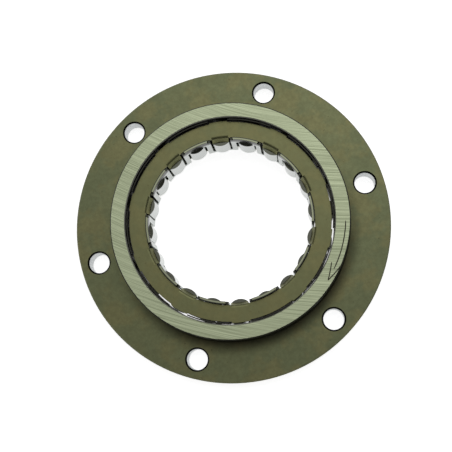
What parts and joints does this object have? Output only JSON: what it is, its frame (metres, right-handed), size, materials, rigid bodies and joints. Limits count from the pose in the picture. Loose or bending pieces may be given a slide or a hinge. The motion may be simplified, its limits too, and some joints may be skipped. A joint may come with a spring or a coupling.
{
  "type": "sprag clutch",
  "caption": "Flanged one-way sprag clutch: a bolted outer race with a raised collar, holding a double cage of tilting sprags that grip a plain hub in one direction.",
  "frame": {"origin": "on the clutch axis, in the plane of the flange's rear face", "axes": "+Z along the clutch axis, from the flange towards the collar's end face; +X through the first bolt hole"},
  "size_m": [0.108, 0.108, 0.015],
  "materials": {
    "race_steel": "ground collar face, dark heat-treated flange",
    "ring_steel": "dark heat-tinted",
    "cage_steel": "satin",
    "sprag_steel": "polished",
    "spring_steel": "satin"
  },
  "bodies": {
    "race": {"outer_race": "race_steel"},
    "cage": {"outer_cage": "cage_steel", "front_side_ring": "ring_steel", "rear_side_ring": "ring_steel", "ribbon_spring": "spring_steel"},
    "phasing_cage": {"inner_cage": "cage_steel"},
    "sprag_01": {"sprag_01": "sprag_steel"},
    "sprag_02": {"sprag_02": "sprag_steel"},
    "sprag_03": {"sprag_03": "sprag_steel"},
    "sprag_04": {"sprag_04": "sprag_steel"},
    "sprag_05": {"sprag_05": "sprag_steel"},
    "sprag_06": {"sprag_06": "sprag_steel"},
    "sprag_07": {"sprag_07": "sprag_steel"},
    "sprag_08": {"sprag_08": "sprag_steel"},
    "sprag_09": {"sprag_09": "sprag_steel"},
    "sprag_10": {"sprag_10": "sprag_steel"},
    "sprag_11": {"sprag_11": "sprag_steel"},
    "sprag_12": {"sprag_12": "sprag_steel"},
    "sprag_13": {"sprag_13": "sprag_steel"},
    "sprag_14": {"sprag_14": "sprag_steel"},
    "sprag_15": {"sprag_15": "sprag_steel"},
    "sprag_16": {"sprag_16": "sprag_steel"},
    "sprag_17": {"sprag_17": "sprag_steel"},
    "sprag_18": {"sprag_18": "sprag_steel"},
    "sprag_19": {"sprag_19": "sprag_steel"},
    "sprag_20": {"sprag_20": "sprag_steel"}
  },
  "joints": [
    {"name": "cage_spin", "type": "hinge", "parent": "race", "child": "cage", "pos_m": [0, 0, 0.007], "axis": [0, 0, 1], "continuous": true},
    {"name": "phasing_shift", "type": "hinge", "parent": "cage", "child": "phasing_cage", "pos_m": [0, 0, 0.007], "axis": [0, 0, 1], "range_deg": [0, 1.13]},
    {"name": "sprag_tilt_01", "type": "hinge", "parent": "cage", "child": "sprag_01", "pos_m": [0.02995, -0.00603, 0.0058], "axis": [0, 0, -1], "range_deg": [0, 12.05], "stiffness_Nm_per_rad": 0.008, "springref_deg": -5.73},
    {"name": "sprag_tilt_02", "type": "hinge", "parent": "cage", "child": "sprag_02", "pos_m": [0.03035, 0.00352, 0.0058], "axis": [0, 0, -1], "range_deg": [0, 12.05], "stiffness_Nm_per_rad": 0.008, "springref_deg": -5.73},
    {"name": "sprag_tilt_03", "type": "hinge", "parent": "cage", "child": "sprag_03", "pos_m": [0.02777, 0.01273, 0.0058], "axis": [0, 0, -1], "range_deg": [0, 12.05], "stiffness_Nm_per_rad": 0.008, "springref_deg": -5.73},
    {"name": "sprag_tilt_04", "type": "hinge", "parent": "cage", "child": "sprag_04", "pos_m": [0.02248, 0.02069, 0.0058], "axis": [0, 0, -1], "range_deg": [0, 12.05], "stiffness_Nm_per_rad": 0.008, "springref_deg": -5.73},
    {"name": "sprag_tilt_05", "type": "hinge", "parent": "cage", "child": "sprag_05", "pos_m": [0.01499, 0.02662, 0.0058], "axis": [0, 0, -1], "range_deg": [0, 12.05], "stiffness_Nm_per_rad": 0.008, "springref_deg": -5.73},
    {"name": "sprag_tilt_06", "type": "hinge", "parent": "cage", "child": "sprag_06", "pos_m": [0.00603, 0.02995, 0.0058], "axis": [0, 0, -1], "range_deg": [0, 12.05], "stiffness_Nm_per_rad": 0.008, "springref_deg": -5.73},
    {"name": "sprag_tilt_07", "type": "hinge", "parent": "cage", "child": "sprag_07", "pos_m": [-0.00352, 0.03035, 0.0058], "axis": [0, 0, -1], "range_deg": [0, 12.05], "stiffness_Nm_per_rad": 0.008, "springref_deg": -5.73},
    {"name": "sprag_tilt_08", "type": "hinge", "parent": "cage", "child": "sprag_08", "pos_m": [-0.01273, 0.02777, 0.0058], "axis": [0, 0, -1], "range_deg": [0, 12.05], "stiffness_Nm_per_rad": 0.008, "springref_deg": -5.73},
    {"name": "sprag_tilt_09", "type": "hinge", "parent": "cage", "child": "sprag_09", "pos_m": [-0.02069, 0.02248, 0.0058], "axis": [0, 0, -1], "range_deg": [0, 12.05], "stiffness_Nm_per_rad": 0.008, "springref_deg": -5.73},
    {"name": "sprag_tilt_10", "type": "hinge", "parent": "cage", "child": "sprag_10", "pos_m": [-0.02662, 0.01499, 0.0058], "axis": [0, 0, -1], "range_deg": [0, 12.05], "stiffness_Nm_per_rad": 0.008, "springref_deg": -5.73},
    {"name": "sprag_tilt_11", "type": "hinge", "parent": "cage", "child": "sprag_11", "pos_m": [-0.02995, 0.00603, 0.0058], "axis": [0, 0, -1], "range_deg": [0, 12.05], "stiffness_Nm_per_rad": 0.008, "springref_deg": -5.73},
    {"name": "sprag_tilt_12", "type": "hinge", "parent": "cage", "child": "sprag_12", "pos_m": [-0.03035, -0.00352, 0.0058], "axis": [0, 0, -1], "range_deg": [0, 12.05], "stiffness_Nm_per_rad": 0.008, "springref_deg": -5.73},
    {"name": "sprag_tilt_13", "type": "hinge", "parent": "cage", "child": "sprag_13", "pos_m": [-0.02777, -0.01273, 0.0058], "axis": [0, 0, -1], "range_deg": [0, 12.05], "stiffness_Nm_per_rad": 0.008, "springref_deg": -5.73},
    {"name": "sprag_tilt_14", "type": "hinge", "parent": "cage", "child": "sprag_14", "pos_m": [-0.02248, -0.02069, 0.0058], "axis": [0, 0, -1], "range_deg": [0, 12.05], "stiffness_Nm_per_rad": 0.008, "springref_deg": -5.73},
    {"name": "sprag_tilt_15", "type": "hinge", "parent": "cage", "child": "sprag_15", "pos_m": [-0.01499, -0.02662, 0.0058], "axis": [0, 0, -1], "range_deg": [0, 12.05], "stiffness_Nm_per_rad": 0.008, "springref_deg": -5.73},
    {"name": "sprag_tilt_16", "type": "hinge", "parent": "cage", "child": "sprag_16", "pos_m": [-0.00603, -0.02995, 0.0058], "axis": [0, 0, -1], "range_deg": [0, 12.05], "stiffness_Nm_per_rad": 0.008, "springref_deg": -5.73},
    {"name": "sprag_tilt_17", "type": "hinge", "parent": "cage", "child": "sprag_17", "pos_m": [0.00352, -0.03035, 0.0058], "axis": [0, 0, -1], "range_deg": [0, 12.05], "stiffness_Nm_per_rad": 0.008, "springref_deg": -5.73},
    {"name": "sprag_tilt_18", "type": "hinge", "parent": "cage", "child": "sprag_18", "pos_m": [0.01273, -0.02777, 0.0058], "axis": [0, 0, -1], "range_deg": [0, 12.05], "stiffness_Nm_per_rad": 0.008, "springref_deg": -5.73},
    {"name": "sprag_tilt_19", "type": "hinge", "parent": "cage", "child": "sprag_19", "pos_m": [0.02069, -0.02248, 0.0058], "axis": [0, 0, -1], "range_deg": [0, 12.05], "stiffness_Nm_per_rad": 0.008, "springref_deg": -5.73},
    {"name": "sprag_tilt_20", "type": "hinge", "parent": "cage", "child": "sprag_20", "pos_m": [0.02662, -0.01499, 0.0058], "axis": [0, 0, -1], "range_deg": [0, 12.05], "stiffness_Nm_per_rad": 0.008, "springref_deg": -5.73}
  ],
  "couplings": [
    {"joint": "sprag_tilt_01", "follows": "phasing_shift", "ratio": 10.62},
    {"joint": "sprag_tilt_02", "follows": "phasing_shift", "ratio": 10.62},
    {"joint": "sprag_tilt_03", "follows": "phasing_shift", "ratio": 10.62},
    {"joint": "sprag_tilt_04", "follows": "phasing_shift", "ratio": 10.62},
    {"joint": "sprag_tilt_05", "follows": "phasing_shift", "ratio": 10.62},
    {"joint": "sprag_tilt_06", "follows": "phasing_shift", "ratio": 10.62},
    {"joint": "sprag_tilt_07", "follows": "phasing_shift", "ratio": 10.62},
    {"joint": "sprag_tilt_08", "follows": "phasing_shift", "ratio": 10.62},
    {"joint": "sprag_tilt_09", "follows": "phasing_shift", "ratio": 10.62},
    {"joint": "sprag_tilt_10", "follows": "phasing_shift", "ratio": 10.62},
    {"joint": "sprag_tilt_11", "follows": "phasing_shift", "ratio": 10.62},
    {"joint": "sprag_tilt_12", "follows": "phasing_shift", "ratio": 10.62},
    {"joint": "sprag_tilt_13", "follows": "phasing_shift", "ratio": 10.62},
    {"joint": "sprag_tilt_14", "follows": "phasing_shift", "ratio": 10.62},
    {"joint": "sprag_tilt_15", "follows": "phasing_shift", "ratio": 10.62},
    {"joint": "sprag_tilt_16", "follows": "phasing_shift", "ratio": 10.62},
    {"joint": "sprag_tilt_17", "follows": "phasing_shift", "ratio": 10.62},
    {"joint": "sprag_tilt_18", "follows": "phasing_shift", "ratio": 10.62},
    {"joint": "sprag_tilt_19", "follows": "phasing_shift", "ratio": 10.62},
    {"joint": "sprag_tilt_20", "follows": "phasing_shift", "ratio": 10.62}
  ]
}
